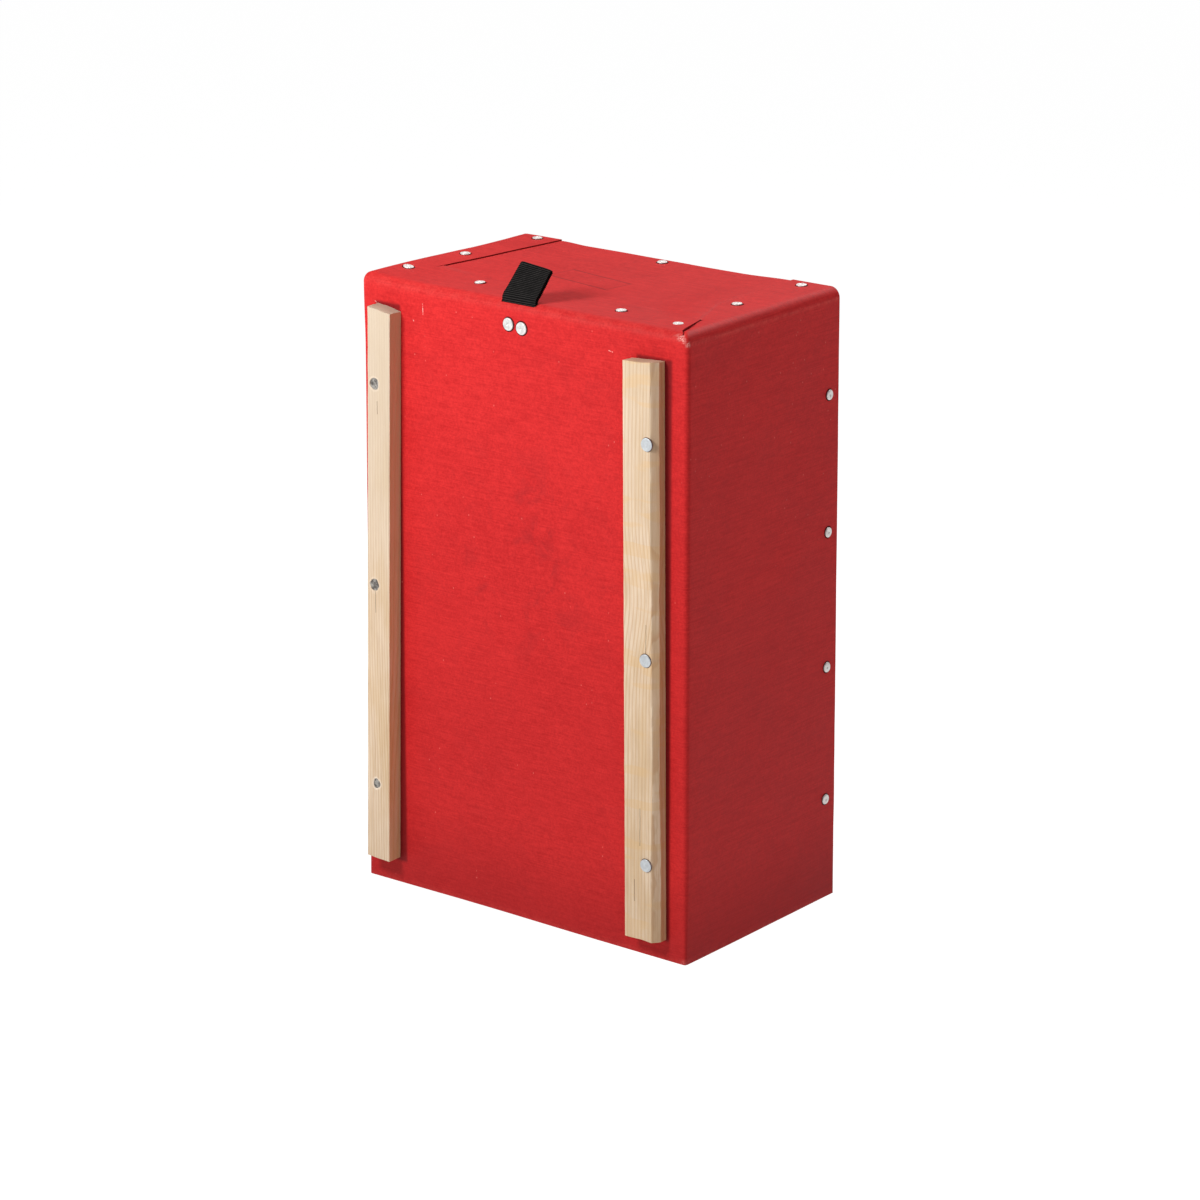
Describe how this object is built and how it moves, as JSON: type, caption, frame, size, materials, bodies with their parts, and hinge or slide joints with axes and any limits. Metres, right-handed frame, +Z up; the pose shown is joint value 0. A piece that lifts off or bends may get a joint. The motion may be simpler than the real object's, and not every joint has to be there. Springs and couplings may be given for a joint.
{
  "type": "springboard box",
  "caption": "Tall riveted box of folded red fibreboard, open at its base, with sawn pine runners on the front and a webbing pull loop at the closed end.",
  "frame": {"origin": "centre of the whole object's footprint, on the surface that the open end stands on", "axes": "+Z up towards the closed end, -Y out of the front with the runners, +X to the right seen from the front"},
  "size_m": [0.3546, 0.228, 0.5784],
  "materials": {
    "red_fibre": "satin, faintly streaked and scuffed",
    "pine": "rough sawn",
    "webbing": "ribbed weave",
    "zinc_steel": "dull zinc plate"
  },
  "bodies": {
    "box": {"outer_shell": "red_fibre", "back_panel": "red_fibre", "runner_left": "pine", "runner_right": "pine", "loop_tails": "webbing", "loop_rivets": "zinc_steel", "left_end_rivets": "zinc_steel", "right_end_rivets": "zinc_steel", "front_end_rivets": "zinc_steel", "back_end_rivet": "zinc_steel", "left_side_rivets": "zinc_steel", "right_side_rivets": "zinc_steel", "left_runner_rivets": "zinc_steel", "right_runner_rivets": "zinc_steel", "loop_burrs": "zinc_steel", "left_end_burrs": "zinc_steel", "right_end_burrs": "zinc_steel", "front_end_burrs": "zinc_steel", "back_end_burr": "zinc_steel", "left_side_burrs": "zinc_steel", "right_side_burrs": "zinc_steel", "left_runner_burrs": "zinc_steel", "right_runner_burrs": "zinc_steel"},
    "pull_loop": {"pull_loop": "webbing"}
  },
  "joints": [
    {"name": "loop_flop", "type": "hinge", "parent": "box", "child": "pull_loop", "pos_m": [-0.005, -0.0933, 0.553], "axis": [1, 0, 0], "range_deg": [-46, 136], "stiffness_Nm_per_rad": 0.03}
  ]
}
